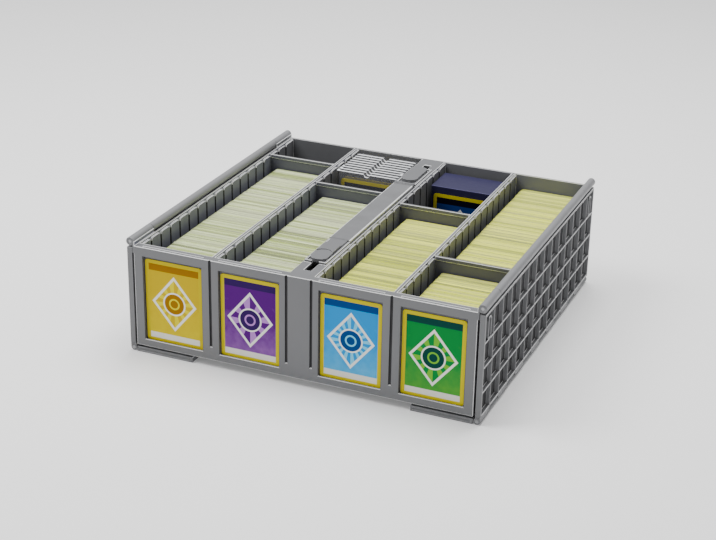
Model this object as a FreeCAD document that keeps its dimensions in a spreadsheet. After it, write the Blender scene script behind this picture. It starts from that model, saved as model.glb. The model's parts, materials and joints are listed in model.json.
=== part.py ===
import FreeCAD, Part
import Sketcher
import os
import re

# Trading card storage bin, open, with its two folding lids hung down the sides.
# Millimetres. X runs across the four card rows, Y from the window front to the back, Z up.
# The origin is on the ground under the middle of the bin, which stands on its folded lid flaps.

doc = FreeCAD.newDocument("card_bin")
sheet = doc.addObject("Spreadsheet::Sheet", "Sizes")

SIZES = [
    ("RibDepth", "1.6", "height of the divider ribs on each channel wall"),
    ("InnerWall", "3.2", "wall between two neighbouring rows"),
    ("SideWall", "2.0", "outer side wall"),
    ("SpineWidth", "26", "hollow middle wall that carries the handle"),
    ("SpineWall", "2.2", "side walls of the hollow middle wall"),
    ("SpineTop", "2.6", "top plate of the hollow middle wall"),
    ("FloorThickness", "2.4", "tub floor"),
    ("FramePlate", "2.4", "front plate with the windows"),
    ("FrontInnerWall", "5.2", "wall between the card slots and the rows"),
    ("BackWall", "2.8", "back wall"),
    ("BayPitch", "19.4", "distance from one divider groove to the next"),
    ("RibTopDrop", "2.0", "how far the ribs stop below the wall tops"),
    ("WindowSill", "7.6", "lower edge of the windows above the tub base"),
    ("CardSlotFloor", "6.3", "bottom of the display card slot above the tub base"),
    ("FaceGrooveWidth", "2.0", "upright grooves between the window frames"),
    ("FaceGrooveDepth", "1.2", "depth of those grooves"),
    ("FaceGrooveFoot", "14", "where those grooves end above the tub base"),
    ("FootInset", "4.0", "foot ring inside the outer faces of the tub"),
    ("FootWidth", "6.0", "width of the foot ring"),
    ("CardWidth", "63", "standard playing card across"),
    ("CardHeight", "88", "standard playing card up"),
    ("CardCorner", "3.0", "corner radius of a card"),
    ("CardThickness", "0.4", "one display card"),
    ("SeatGap", "0.3", "play under and beside pieces that only rest"),
    ("PocketPlay", "1.5", "play beside a card in a window slot or a sleeve, each side"),
    ("SlotPlay", "0.5", "play before and behind a single card in its slot"),
    ("RowHeadroom", "16.3", "wall tops above the cards in the rows"),
    ("WindowMargin", "0.8", "window opening beyond its card, each side"),
    ("WindowHeadroom", "3.0", "top of a window opening above its card"),
    ("DividerThickness", "1.5", "divider plate"),
    ("GroovePlay", "0.25", "play before and behind a divider in its groove"),
    ("DividerPlay", "0.35", "play of a divider in its grooves, each side"),
    ("DividerTopDrop", "0.4", "top of a divider below the wall tops"),
    ("BeadThickness", "3.0", "stiffening bead along the top of a divider"),
    ("BeadHeight", "4.0", "height of that bead"),
    ("AxisOut", "4.2", "lid hinge axis outside the tub side"),
    ("LidSkinSide", "2.0", "lid skin face from its hinge axes"),
    ("LidRibSide", "3.6", "lid rib face from its hinge axes"),
    ("LidSkin", "1.6", "thickness of the lid skin"),
    ("LidRib", "1.4", "thickness of the lid ribs"),
    ("LidRim", "2.4", "thickness of the rim round a lid panel"),
    ("LidClearance", "0.35", "closed lid above the wall tops"),
    ("RowPitch", "25.4", "distance between the long ribs of a lid panel"),
    ("BarrelRadius", "4.3", "upper hinge barrel"),
    ("KneeRadius", "3.5", "lower hinge barrel"),
    ("PinRadius", "1.5", "hinge pins"),
    ("PinPlay", "0.05", "running clearance round a hinge pin"),
    ("PinInset", "0.3", "pin ends inside the barrel ends"),
    ("EndKnuckle", "39.6", "length of the tub's barrel at each end"),
    ("KnuckleGap", "0.4", "gap between neighbouring barrels"),
    ("BarrelClearance", "0.5", "lid edges clear of the lower hinge barrels"),
    ("RimGap", "1.6", "recess between the upper hinge barrel and the rim of its panel"),
    ("BracketDrop", "12", "how far that web reaches below the hinge axis"),
    ("AxisDrop", "4.4", "lower hinge axis below the tub base"),
    ("MeetGap", "1.5", "gap between the closed flaps at the middle"),
    ("NotchPlay", "6.0", "handle notch beyond the rails, along"),
    ("NotchSidePlay", "1.2", "handle notch beyond the rails, across"),
    ("BossWidth", "8.5", "oval boss in the end cells of a lid panel"),
    ("BossLength", "24", "height of the oval boss"),
    ("BossWall", "1.6", "wall of the oval boss"),
    ("BossInset", "14", "middle of the boss from the end of the panel"),
    ("BossDrop", "5.5", "top of the boss below the upper edge of the panel"),
    ("PadWidth", "17.4", "handle pads across"),
    ("PadLength", "44", "handle pads along"),
    ("PadCorner", "7.5", "corner radius of the handle pads"),
    ("PadRise", "4.8", "top of the pads above the middle wall"),
    ("PadInset", "40", "outer ends of the pads from the front and back faces"),
    ("GuideGap", "0.9", "gap between a pad and the rails beside it"),
    ("RailWidth", "1.8", "rails beside the pads"),
    ("RailRise", "2.6", "height of the rails"),
    ("NeckLength", "12.4", "flat neck between the front pad and the strap"),
    ("StrapWidth", "22.6", "handle strap across"),
    ("StrapThickness", "3.2", "handle strap"),
    ("LinkLength", "50", "bending stretch of the strap at each end"),
    ("FlexGap", "0.6", "strap pieces from their bending lines"),
    ("StemWidth", "6.3", "stem of a pad through its slot"),
    ("StemLength", "8", "stem along the slot"),
    ("StemSetback", "8", "stem from the outer end of its pad"),
    ("HookLength", "14", "foot under the slot"),
    ("HookWidth", "14", "foot across the slot"),
    ("HookThickness", "2.0", "foot under the slot"),
    ("StemPlay", "0.6", "play beside a stem in its slot, each side"),
    ("SlotLead", "20", "how far a slot reaches beyond the outer end of its pad"),
    ("SlotRun", "21", "how far a slot reaches past the inner face of its stem"),
    ("ThumbLength", "15", "straight part of the lowered thumb end of the front pad"),
    ("ThumbDepth", "0.8", "how far that end is lowered"),
    ("BarRise", "4.0", "top of the cross bar above the middle wall"),
    ("BarSetback", "6.0", "low bridge between the cross bar and the rear pad"),
    ("BridgeRise", "1.5", "top of that bridge above the middle wall"),
    ("FlapMiddleRib", "29", "long rib of a flap from the lower hinge axis"),
    ("FlapGrooveDepth", "0.6", "shallow groove in the front edge of a flap"),
    ("StackPlay", "0.6", "cards from the walls and dividers at their ends"),
    ("SleeveWall", "2.0", "clear walls of a sleeve"),
    ("SleeveEdge", "3.0", "side walls of a sleeve's pocket"),
    ("SleevePlay", "2.475", "sleeve from the walls of its row"),
    ("SleeveMouth", "9.6", "top of a sleeve above its card"),
    ("SleeveGap", "1.8", "gap between standing sleeves"),
    ("LastSleeve", "8", "middle of the last sleeve from the back wall"),
    ("SleeveFloor", "4.0", "closed lower edge of a sleeve"),
    ("DeckBoxDepth", "44", "deck box front to back"),
    ("DeckBoxWall", "1.6", "walls of the deck box"),
    ("DeckLidHeight", "26", "height of the deck box lid"),
    ("DeckLidPlay", "0.2", "play of the deck box lid on its neck"),
    ("DeckNeckWall", "1.0", "wall of that neck"),
    ("DeckSidePlay", "0.7", "deck box neck beside its cards, each side"),
    ("DeckHeadroom", "4.8", "lid of the deck box above its cards"),
    ("DeckNeckHeight", "8", "neck inside the lid"),
    ("PromoGap", "1.2", "single card in front of the deck box"),
    ("DeckBoxBack", "9", "back of the deck box from the back wall"),
]
for row, (alias, value, note) in enumerate(SIZES, start=1):
    sheet.set(f"A{row}", value)
    sheet.setAlias(f"A{row}", alias)
    sheet.set(f"B{row}", note)
doc.recompute()

BAYS = 18
LID_COLUMNS = 14
PANEL_ROWS = 4
SLEEVES = 9
SLEEVE_ROW = 2
DECK_ROW = 3
# the divider of each row stands in this groove, counted from the front
DIVIDER_GROOVE = {1: 15, 2: 12, 3: 11, 4: 5}
SIDES = {"left": -1, "right": 1}

# Expressions that several pieces share. Heights are above the ground.
CARD_SLOT = "(CardThickness + 2 * SlotPlay)"
POCKET = "(CardWidth + 2 * PocketPlay)"
SLEEVE_WIDTH = f"({POCKET} + 2 * SleeveEdge)"
SLEEVE_THICKNESS = f"({CARD_SLOT} + 2 * SleeveWall)"
SLEEVE_PITCH = f"({SLEEVE_THICKNESS} + SleeveGap)"
SLEEVE_HEIGHT = "(SleeveFloor + CardHeight + SleeveMouth)"
CLEAR_WIDTH = f"({SLEEVE_WIDTH} + 2 * SleevePlay)"
CHANNEL = f"({CLEAR_WIDTH} + 2 * RibDepth)"
GROOVE_WIDTH = "(DividerThickness + 2 * GroovePlay)"
ROW_STEP = f"({CHANNEL} + InnerWall)"
HALF_WIDTH = f"(SpineWidth / 2 + 2 * {CHANNEL} + InnerWall + SideWall)"
FRONT_WALL = f"(FramePlate + {CARD_SLOT} + FrontInnerWall)"
DEPTH = f"({FRONT_WALL} + {BAYS} * BayPitch + BackWall)"
FRONT = f"(-{DEPTH} / 2)"
BACK = f"({DEPTH} / 2)"
INSIDE_FRONT = f"({FRONT} + {FRONT_WALL})"
INSIDE_BACK = f"({BACK} - BackWall)"
BASE = "(AxisDrop + LidRibSide)"
BODY_HEIGHT = "(FloorThickness + SeatGap + CardHeight + RowHeadroom)"
TOP = f"({BASE} + {BODY_HEIGHT})"
FLOOR = f"({BASE} + FloorThickness)"
STANDING = f"({FLOOR} + SeatGap)"
AXIS_X = f"({HALF_WIDTH} + AxisOut)"
UPPER_AXIS = f"({TOP} + LidRibSide + LidClearance)"
LOWER_AXIS = f"({BASE} - AxisDrop)"
KNEE_EDGE = "(KneeRadius + BarrelClearance)"
FOOT_INSIDE = "(FootInset + FootWidth)"
LID_INNER = f"({AXIS_X} - LidSkinSide)"
LID_OUTER = f"({AXIS_X} + LidRibSide)"
LID_LOW = f"({LOWER_AXIS} + {KNEE_EDGE})"
LID_HIGH = f"({UPPER_AXIS} - BarrelRadius - RimGap)"
STRAP_LOW = f"({TOP} + SeatGap)"
PAD_END = "(PadInset + PadLength)"
RAIL_INNER = "(PadWidth / 2 + GuideGap)"
RAIL_OUTER = f"({RAIL_INNER} + RailWidth)"
RAIL_END = "(PadInset - GuideGap)"
HOOK_SLOT = "(StemWidth + 2 * StemPlay)"
BEND = f"({PAD_END} + NeckLength + FlexGap)"
COLUMN_PITCH = f"({DEPTH} / {LID_COLUMNS})"
DECK_NECK_INSET = "(DeckBoxWall + DeckLidPlay)"
DECK_ROOM_INSET = f"({DECK_NECK_INSET} + DeckNeckWall)"
DECK_WIDTH = f"(CardWidth + 2 * DeckSidePlay + 2 * {DECK_ROOM_INSET})"
DECK_HEIGHT = "(CardHeight + 2 * DeckBoxWall + DeckHeadroom)"
ROW_CENTRE = {
    1: f"(-SpineWidth / 2 - {CHANNEL} / 2 - {ROW_STEP})",
    2: f"(-SpineWidth / 2 - {CHANNEL} / 2)",
    3: f"(SpineWidth / 2 + {CHANNEL} / 2)",
    4: f"(SpineWidth / 2 + {CHANNEL} / 2 + {ROW_STEP})",
}


def size(text):
    """The expression with each size read from the sheet."""
    return re.sub(r"\b([A-Z][A-Za-z]+)\b", r"Sizes.\1", text)


def block(name, corner, span):
    """A box from its low corner and its span, both three expressions."""
    box = doc.addObject("Part::Box", name)
    for field, text in zip(("Length", "Width", "Height"), span):
        box.setExpression(field, size(text))
    for field, text in zip("xyz", corner):
        box.setExpression(f"Placement.Base.{field}", size(text))
    return box


def beside(name, side, near, far, start, end, low, high):
    """A box on one side of the middle, from near to far, start to end and low to high."""
    x = near if side > 0 else f"-({far})"
    return block(
        name,
        (x, start, low),
        (f"({far}) - ({near})", f"({end}) - ({start})", f"({high}) - ({low})"),
    )


def rod(name, side, out, height, radius, start, end):
    """A cylinder along Y, out from the middle at the given height."""
    bar = doc.addObject("Part::Cylinder", name)
    bar.Placement.Rotation = FreeCAD.Rotation(FreeCAD.Vector(1, 0, 0), -90)
    bar.setExpression("Radius", size(radius))
    bar.setExpression("Height", size(f"({end}) - ({start})"))
    bar.setExpression("Placement.Base.x", size(f"{side} * ({out})"))
    bar.setExpression("Placement.Base.y", size(start))
    bar.setExpression("Placement.Base.z", size(height))
    return bar


def join(name, shapes):
    """One solid of several that touch or cross."""
    fused = doc.addObject("Part::MultiFuse", name)
    fused.Shapes = shapes
    fused.Refine = True
    return fused


def group(name, shapes):
    """Separate solids kept together."""
    together = doc.addObject("Part::Compound", name)
    together.Links = shapes
    return together


def cut(name, base, tools):
    """The base without the tools, which stay clear of each other."""
    carved = doc.addObject("Part::Cut", name)
    carved.Base = base
    carved.Tool = tools[0] if len(tools) == 1 else group(name + "_tools", tools)
    carved.Refine = True
    return carved


def rectangle(body, name, role, width, height):
    """A sketched rectangle, centred across, that stands on the plane's first axis."""
    sketch = body.newObject("Sketcher::SketchObject", name)
    plane = next(f for f in body.Origin.OriginFeatures if f.Role == role)
    sketch.AttachmentSupport = [(plane, "")]
    sketch.MapMode = "FlatFace"
    corners = [(-1, 0), (1, 0), (1, 1), (-1, 1)]
    for i, (u, v) in enumerate(corners):
        u_next, v_next = corners[(i + 1) % 4]
        line = Part.LineSegment(FreeCAD.Vector(u, v, 0), FreeCAD.Vector(u_next, v_next, 0))
        sketch.addGeometry(line, False)
    for i in range(4):
        sketch.addConstraint(Sketcher.Constraint("Coincident", i, 2, (i + 1) % 4, 1))
    sketch.addConstraint(Sketcher.Constraint("Vertical", 1))
    sketch.addConstraint(Sketcher.Constraint("Vertical", 3))
    sketch.addConstraint(Sketcher.Constraint("Horizontal", 0))
    sketch.addConstraint(Sketcher.Constraint("Horizontal", 2))
    sketch.addConstraint(Sketcher.Constraint("Symmetric", 0, 1, 0, 2, -1, 1))
    across = sketch.addConstraint(Sketcher.Constraint("DistanceX", 0, 1, 0, 2, 2.0))
    up = sketch.addConstraint(Sketcher.Constraint("DistanceY", 1, 1, 1, 2, 1.0))
    sketch.setExpression(f"Constraints[{across}]", size(width))
    sketch.setExpression(f"Constraints[{up}]", size(height))
    return sketch


def pad(body, name, sketch, length, both_ways=False):
    """The sketch given a thickness."""
    solid = body.newObject("PartDesign::Pad", name)
    solid.Profile = sketch
    solid.SideType = "Symmetric" if both_ways else "One side"
    solid.setExpression("Length", size(length))
    return solid


def rounded(body, name, feature, direction, radius):
    """The edges of the feature that run along the direction, rounded."""
    doc.recompute()
    edges = []
    for i, edge in enumerate(feature.Shape.Edges, start=1):
        along = edge.tangentAt(edge.FirstParameter)
        if abs(abs(along.dot(direction)) - 1) < 1e-6:
            edges.append(f"Edge{i}")
    fillet = body.newObject("PartDesign::Fillet", name)
    fillet.Base = (feature, edges)
    fillet.setExpression("Radius", size(radius))
    return fillet


def place(thing, x, y, z):
    """Puts a sub-part where three expressions say."""
    for field, text in zip("xyz", (x, y, z)):
        thing.setExpression(f"Placement.Base.{field}", size(text))
    return thing


def card(name, width, height, thickness, x, y, z):
    """One upright card with rounded corners; y is the middle of its thickness."""
    body = doc.addObject("PartDesign::Body", name)
    sketch = rectangle(body, name + "_outline", "XZ_Plane", width, height)
    flat = pad(body, name + "_plate", sketch, thickness, both_ways=True)
    rounded(body, name + "_corners", flat, FreeCAD.Vector(0, 1, 0), "CardCorner")
    return place(body, x, y, z)


def tub():
    """The tub: four open rows, the hollow middle wall, the window front and the foot ring."""
    shell = block(
        "tub_shell",
        (f"-{HALF_WIDTH}", FRONT, BASE),
        (f"2 * {HALF_WIDTH}", DEPTH, BODY_HEIGHT),
    )
    ring = block(
        "tub_foot_outer",
        (f"FootInset - {HALF_WIDTH}", f"{FRONT} + FootInset", f"{LOWER_AXIS} + LidSkinSide + SeatGap"),
        (
            f"2 * ({HALF_WIDTH} - FootInset)",
            f"{DEPTH} - 2 * FootInset",
            f"{BASE} - {LOWER_AXIS} - LidSkinSide - SeatGap + FloorThickness / 2",
        ),
    )
    hollow = block(
        "tub_foot_inner",
        (f"{FOOT_INSIDE} - {HALF_WIDTH}", f"{FRONT} + {FOOT_INSIDE}", "0"),
        (f"2 * ({HALF_WIDTH} - {FOOT_INSIDE})", f"{DEPTH} - 2 * {FOOT_INSIDE}", BASE),
    )
    foot = cut("tub_foot", ring, [hollow])
    solid = join("tub_solid", [shell, foot] + brackets() + guide_rails())
    return cut("tub_carved", solid, row_hollows() + spine_hollows() + front_hollows() + pin_holes())


def row_hollows():
    """The four card rows: clear width all the way down, and the grooves beside it."""
    tools = []
    for row, centre in ROW_CENTRE.items():
        length = f"{DEPTH} - {FRONT_WALL} - BackWall"
        clear = block(
            f"row_{row}_hollow",
            (f"{centre} - {CLEAR_WIDTH} / 2", INSIDE_FRONT, FLOOR),
            (CLEAR_WIDTH, length, BODY_HEIGHT),
        )
        ledge = block(
            f"row_{row}_ledge",
            (f"{centre} - {CHANNEL} / 2", INSIDE_FRONT, f"{TOP} - RibTopDrop"),
            (CHANNEL, length, "2 * RibTopDrop"),
        )
        grooves = [
            block(
                f"row_{row}_groove_{i}",
                (
                    f"{centre} - {CHANNEL} / 2",
                    f"{INSIDE_FRONT} + {i} * BayPitch - {GROOVE_WIDTH} / 2",
                    FLOOR,
                ),
                (CHANNEL, GROOVE_WIDTH, BODY_HEIGHT),
            )
            for i in range(1, BAYS)
        ]
        tools.append(join(f"row_{row}_tool", [clear, ledge] + grooves))
    return tools


def spine_hollows():
    """The hollow under the middle wall's top plate, and the two slots for the handle."""
    inner = "(SpineWidth / 2 - SpineWall)"
    hollow = block(
        "spine_hollow",
        (f"-{inner}", f"{FRONT} + {FOOT_INSIDE}", "0"),
        (f"2 * {inner}", f"{DEPTH} - 2 * {FOOT_INSIDE}", f"{TOP} - SpineTop"),
    )
    slots = []
    for end in ("front", "rear"):
        reach = "(PadInset + StemSetback + StemLength + SlotRun)"
        start, stop = from_end(end, "(PadInset - SlotLead)", reach)
        slot = block(
            f"handle_{end}_slot",
            (f"-{HOOK_SLOT} / 2", start, f"{TOP} - 2 * SpineTop"),
            (HOOK_SLOT, f"{stop} - {start}", "4 * SpineTop"),
        )
        slots.append(slot)
    return [join("spine_tool", [hollow] + slots)]


def front_hollows():
    """The windows, the card slots behind them and the upright grooves between their frames."""
    tools = []
    across = "(CardWidth + 2 * WindowMargin)"
    up = "(CardSlotFloor + SeatGap + CardHeight + WindowHeadroom - WindowSill)"
    for row, centre in ROW_CENTRE.items():
        window = block(
            f"window_{row}_opening",
            (f"{centre} - {across} / 2", f"{FRONT} - FramePlate", f"{BASE} + WindowSill"),
            (across, "2 * FramePlate", up),
        )
        slot = block(
            f"window_{row}_slot",
            (f"{centre} - {POCKET} / 2", f"{FRONT} + FramePlate", f"{BASE} + CardSlotFloor"),
            (POCKET, CARD_SLOT, BODY_HEIGHT),
        )
        tools.append(join(f"window_{row}_tool", [window, slot]))
    beside_spine = "(SpineWidth / 2)"
    between_rows = f"({beside_spine} + {CHANNEL} + InnerWall / 2)"
    for name, x in (
        ("outer_left", f"-{between_rows}"),
        ("inner_left", f"-{beside_spine}"),
        ("inner_right", beside_spine),
        ("outer_right", between_rows),
    ):
        groove = block(
            f"face_groove_{name}",
            (
                f"{x} - FaceGrooveWidth / 2",
                f"{FRONT} - FaceGrooveDepth",
                f"{BASE} + FaceGrooveFoot",
            ),
            ("FaceGrooveWidth", "2 * FaceGrooveDepth", BODY_HEIGHT),
        )
        tools.append(groove)
    return tools


def end_knuckles():
    """Start and end along Y of the tub's two hinge barrels on each side."""
    return {
        "front": (FRONT, f"{FRONT} + EndKnuckle"),
        "rear": (f"{BACK} - EndKnuckle", BACK),
    }


def brackets():
    """The tub's hinge barrels on their webs, outside the tops of the side walls."""
    pieces = []
    near = f"{HALF_WIDTH} - SideWall / 4"
    for side_name, side in SIDES.items():
        for end, (start, stop) in end_knuckles().items():
            name = f"{side_name}_{end}"
            web = beside(
                f"{name}_web",
                side,
                near,
                f"{LID_INNER} - SeatGap",
                start,
                stop,
                f"{UPPER_AXIS} - BracketDrop",
                UPPER_AXIS,
            )
            barrel = rod(f"{name}_barrel", side, AXIS_X, UPPER_AXIS, "BarrelRadius", start, stop)
            pieces += [web, barrel]
    return pieces


def pin_holes():
    """The holes through the tub's hinge barrels."""
    return [pin_hole(f"tub_{name}", side, UPPER_AXIS) for name, side in SIDES.items()]


def pin_hole(name, side, height):
    """The room for a hinge pin, right through."""
    return rod(f"{name}_hole", side, AXIS_X, height, "PinRadius + PinPlay", FRONT, BACK)


def pin(name, side, height):
    """A hinge pin along one side."""
    return rod(name, side, AXIS_X, height, "PinRadius", f"{FRONT} + PinInset", f"{BACK} - PinInset")


def from_end(end, near, far):
    """Start and end along Y of a stretch measured inwards from the front or the back face."""
    if end == "front":
        return f"({FRONT} + {near})", f"({FRONT} + {far})"
    return f"({BACK} - {far})", f"({BACK} - {near})"


def guide_rails():
    """Low rails on the middle wall beside both pads, with lips across their outer ends."""
    low = f"{TOP} - SpineTop / 2"
    high = f"{TOP} + RailRise"
    inner_end = {"front": f"({PAD_END} + NeckLength)", "rear": f"({PAD_END} + BarSetback)"}
    pieces = []
    for side_name, side in SIDES.items():
        for end in ("front", "rear"):
            name = f"{end}_{side_name}"
            start, stop = from_end(end, RAIL_END, f"({inner_end[end]} - GuideGap)")
            rail = beside(f"{name}_rail", side, RAIL_INNER, RAIL_OUTER, start, stop, low, high)
            start, stop = from_end(end, f"({RAIL_END} - RailWidth)", RAIL_END)
            near = f"{HOOK_SLOT} / 2"
            lip = beside(f"{name}_lip", side, near, RAIL_OUTER, start, stop, low, high)
            pieces += [rail, lip]
    return pieces


def bars(name, side, near, far, low, high, across, along):
    """Lattice bars: one at each distance along Y and one at each place of the other list."""
    pieces = []
    for i, (middle, width) in enumerate(across):
        start = f"{middle} - {width} / 2"
        stop = f"{middle} + {width} / 2"
        pieces.append(beside(f"{name}_upright_{i}", side, near, far, start, stop, low, high))
    for i, (low_edge, high_edge) in enumerate(along):
        bar = beside(f"{name}_long_{i}", side, near, far, FRONT, BACK, low_edge, high_edge)
        pieces.append(bar)
    return pieces


def knuckles(name, side, columns, near, far, low, high):
    """Lower hinge barrels in some of the columns, each with its web."""
    pieces = []
    for i in columns:
        start = f"{FRONT} + {i} * {COLUMN_PITCH} + KnuckleGap / 2"
        stop = f"{FRONT} + {i + 1} * {COLUMN_PITCH} - KnuckleGap / 2"
        pieces.append(beside(f"{name}_web_{i}", side, near, far, start, stop, low, high))
        pieces.append(rod(f"{name}_knuckle_{i}", side, AXIS_X, LOWER_AXIS, "KneeRadius", start, stop))
    return pieces


def boss(name, side, middle):
    """An oval ring in an end cell of a lid panel."""
    parts = []
    for part, inset in (("outer", "0"), ("inner", "BossWall")):
        radius = f"(BossWidth / 2 - {inset})"
        middles = [f"{LID_HIGH} - BossDrop - BossLength + BossWidth / 2"]
        middles.append(f"{LID_HIGH} - BossDrop - BossWidth / 2")
        near = f"{LID_INNER} + LidSkin / 2"
        ends = []
        for i, height in enumerate(middles):
            disc = doc.addObject("Part::Cylinder", f"{name}_{part}_{i}")
            disc.Placement.Rotation = FreeCAD.Rotation(FreeCAD.Vector(0, 1, 0), 90 * side)
            disc.setExpression("Radius", size(radius))
            disc.setExpression("Height", size(f"{LID_OUTER} - ({near})"))
            place(disc, f"{side} * ({near})", middle, height)
            ends.append(disc)
        straight = beside(
            f"{name}_{part}_straight",
            side,
            near,
            LID_OUTER,
            f"{middle} - {radius}",
            f"{middle} + {radius}",
            *middles,
        )
        parts.append(join(f"{name}_{part}", ends + [straight]))
    return cut(name, parts[0], parts[1:])


def lid_panel(name, side):
    """A lid panel: smooth skin inside, lattice outside, hinge barrels at both long edges."""
    skin = beside(
        f"{name}_skin",
        side,
        LID_INNER,
        f"{LID_INNER} + LidSkin",
        FRONT,
        BACK,
        LID_LOW,
        LID_HIGH,
    )
    columns = [(f"{FRONT} + {i} * {COLUMN_PITCH}", "LidRib") for i in range(1, LID_COLUMNS)]
    columns.insert(0, (f"({FRONT} + LidRim / 2)", "LidRim"))
    columns.append((f"({BACK} - LidRim / 2)", "LidRim"))
    rows = [(LID_LOW, f"{LID_LOW} + LidRim"), (f"{LID_HIGH} - LidRim", LID_HIGH)]
    for i in range(1, PANEL_ROWS):
        middle = f"{LID_LOW} + {i} * RowPitch"
        rows.append((f"{middle} - LidRib / 2", f"{middle} + LidRib / 2"))
    lattice = bars(name, side, LID_INNER, LID_OUTER, LID_LOW, LID_HIGH, columns, rows)
    start, stop = f"{FRONT} + EndKnuckle + KnuckleGap", f"{BACK} - EndKnuckle - KnuckleGap"
    web = beside(
        f"{name}_top_web",
        side,
        LID_INNER,
        f"{LID_INNER} + LidSkin",
        start,
        stop,
        f"{LID_HIGH} - LidRim",
        UPPER_AXIS,
    )
    barrel = rod(f"{name}_top_barrel", side, AXIS_X, UPPER_AXIS, "BarrelRadius", start, stop)
    low_hinge = knuckles(
        name,
        side,
        range(0, LID_COLUMNS, 2),
        LID_INNER,
        LID_OUTER,
        LOWER_AXIS,
        f"{LID_LOW} + LidRim",
    )
    rings = [
        boss(f"{name}_front_boss", side, f"({FRONT} + BossInset)"),
        boss(f"{name}_rear_boss", side, f"({BACK} - BossInset)"),
    ]
    solid = join(f"{name}_solid", [skin, web, barrel] + lattice + low_hinge + rings)
    holes = [pin_hole(f"{name}_{end}", side, z) for end, z in (("top", UPPER_AXIS), ("low", LOWER_AXIS))]
    return cut(name, solid, holes)


def lid_flap(name, side):
    """A lid flap, folded flat under the tub: skin above, lattice below, notch for the handle."""
    reach = f"({UPPER_AXIS} - {LOWER_AXIS})"
    tip = f"({reach} + MeetGap / 2)"
    notch = f"({reach} + {RAIL_OUTER} + NotchSidePlay)"
    notch_half = f"({DEPTH} / 2 - {RAIL_END} + RailWidth + NotchPlay)"
    edge = f"({AXIS_X} - {KNEE_EDGE})"
    low = f"({LOWER_AXIS} - LidRibSide)"
    high = f"({LOWER_AXIS} + LidSkinSide)"
    pieces = [beside(f"{name}_skin", side, tip, edge, FRONT, BACK, f"{high} - LidSkin", high)]
    rib = f"{AXIS_X} - FlapMiddleRib"
    stretches = [(f"{edge} - LidRim", edge), (f"{rib} - LidRib", rib)]
    stretches += [(start, f"{start} + LidRim") for start in (tip, notch)]
    for i, (near, far) in enumerate(stretches):
        pieces.append(beside(f"{name}_long_{i}", side, near, far, FRONT, BACK, low, high))
    uprights = [(f"{FRONT} + {i} * {COLUMN_PITCH}", "LidRib") for i in range(1, LID_COLUMNS)]
    uprights.append((f"({FRONT} + LidRim / 2)", "LidRim"))
    uprights.append((f"({BACK} - LidRim / 2)", "LidRim"))
    uprights.append((f"(-{notch_half} - LidRim / 2)", "LidRim"))
    uprights.append((f"({notch_half} + LidRim / 2)", "LidRim"))
    pieces += bars(name, side, tip, edge, low, high, uprights, [])
    pieces += knuckles(
        name,
        side,
        range(1, LID_COLUMNS, 2),
        f"{edge} - LidRim",
        AXIS_X,
        low,
        high,
    )
    solid = join(f"{name}_solid", pieces)
    opening = beside(
        f"{name}_notch",
        side,
        f"{tip} - LidRim",
        notch,
        f"-{notch_half}",
        notch_half,
        f"{low} - LidRim",
        f"{high} + LidRim",
    )
    groove = beside(
        f"{name}_groove",
        side,
        f"{tip} + LidRim",
        f"{edge} - LidRim",
        f"{FRONT} - FlapGrooveDepth",
        f"{FRONT} + FlapGrooveDepth",
        f"{low} + LidRib",
        f"{high} - LidSkin",
    )
    return cut(name, solid, [opening, groove, pin_hole(name, side, LOWER_AXIS)])


def handle_pad(end):
    """The rounded pad of the handle at one end, with its stem and foot through the slot."""
    name = f"{end}_pad"
    body = doc.addObject("PartDesign::Body", name)
    sketch = rectangle(body, name + "_outline", "XY_Plane", "PadWidth", "PadLength")
    plate = pad(body, name + "_plate", sketch, "PadRise - SeatGap")
    rounded(body, name + "_corners", plate, FreeCAD.Vector(0, 0, 1), "PadCorner")
    start, stop = from_end(end, "PadInset", PAD_END)
    place(body, "0", start, STRAP_LOW)
    stem_start, stem_stop = from_end(
        end,
        "(PadInset + StemSetback)",
        "(PadInset + StemSetback + StemLength)",
    )
    foot_top = f"({TOP} - SpineTop - SeatGap)"
    stem = block(
        name + "_stem",
        ("-StemWidth / 2", stem_start, foot_top),
        ("StemWidth", "StemLength", f"{STRAP_LOW} - {foot_top} + PadRise / 2"),
    )
    overhang = "(HookLength - StemLength) / 2"
    foot = block(
        name + "_foot",
        ("-HookWidth / 2", f"{stem_start} - {overhang}", f"{foot_top} - HookThickness"),
        ("HookWidth", "HookLength", "HookThickness"),
    )
    return [body, stem, foot]


def front_pad():
    """The sliding front pad, its thumb end lowered, with the neck to the strap."""
    start, stop = from_end("front", f"({PAD_END} - PadCorner)", f"({PAD_END} + NeckLength)")
    neck = block(
        "front_neck",
        ("-PadWidth / 2", start, STRAP_LOW),
        ("PadWidth", f"{stop} - {start}", "StrapThickness"),
    )
    solid = join("front_pad_solid", handle_pad("front") + [neck])
    low = f"({TOP} + PadRise - ThumbDepth)"
    outer_end = f"({FRONT} + PadInset)"
    thumb = block(
        "thumb_straight",
        ("-PadWidth", f"{outer_end} - PadCorner", low),
        ("2 * PadWidth", "PadCorner + ThumbLength", "PadRise"),
    )
    arc = doc.addObject("Part::Cylinder", "thumb_arc")
    arc.setExpression("Radius", size("PadWidth / 2 + GuideGap"))
    arc.setExpression("Height", size("PadRise"))
    place(arc, "0", f"{outer_end} + ThumbLength", low)
    return cut("handle_front_pad", solid, [join("thumb_tool", [thumb, arc])])


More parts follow.
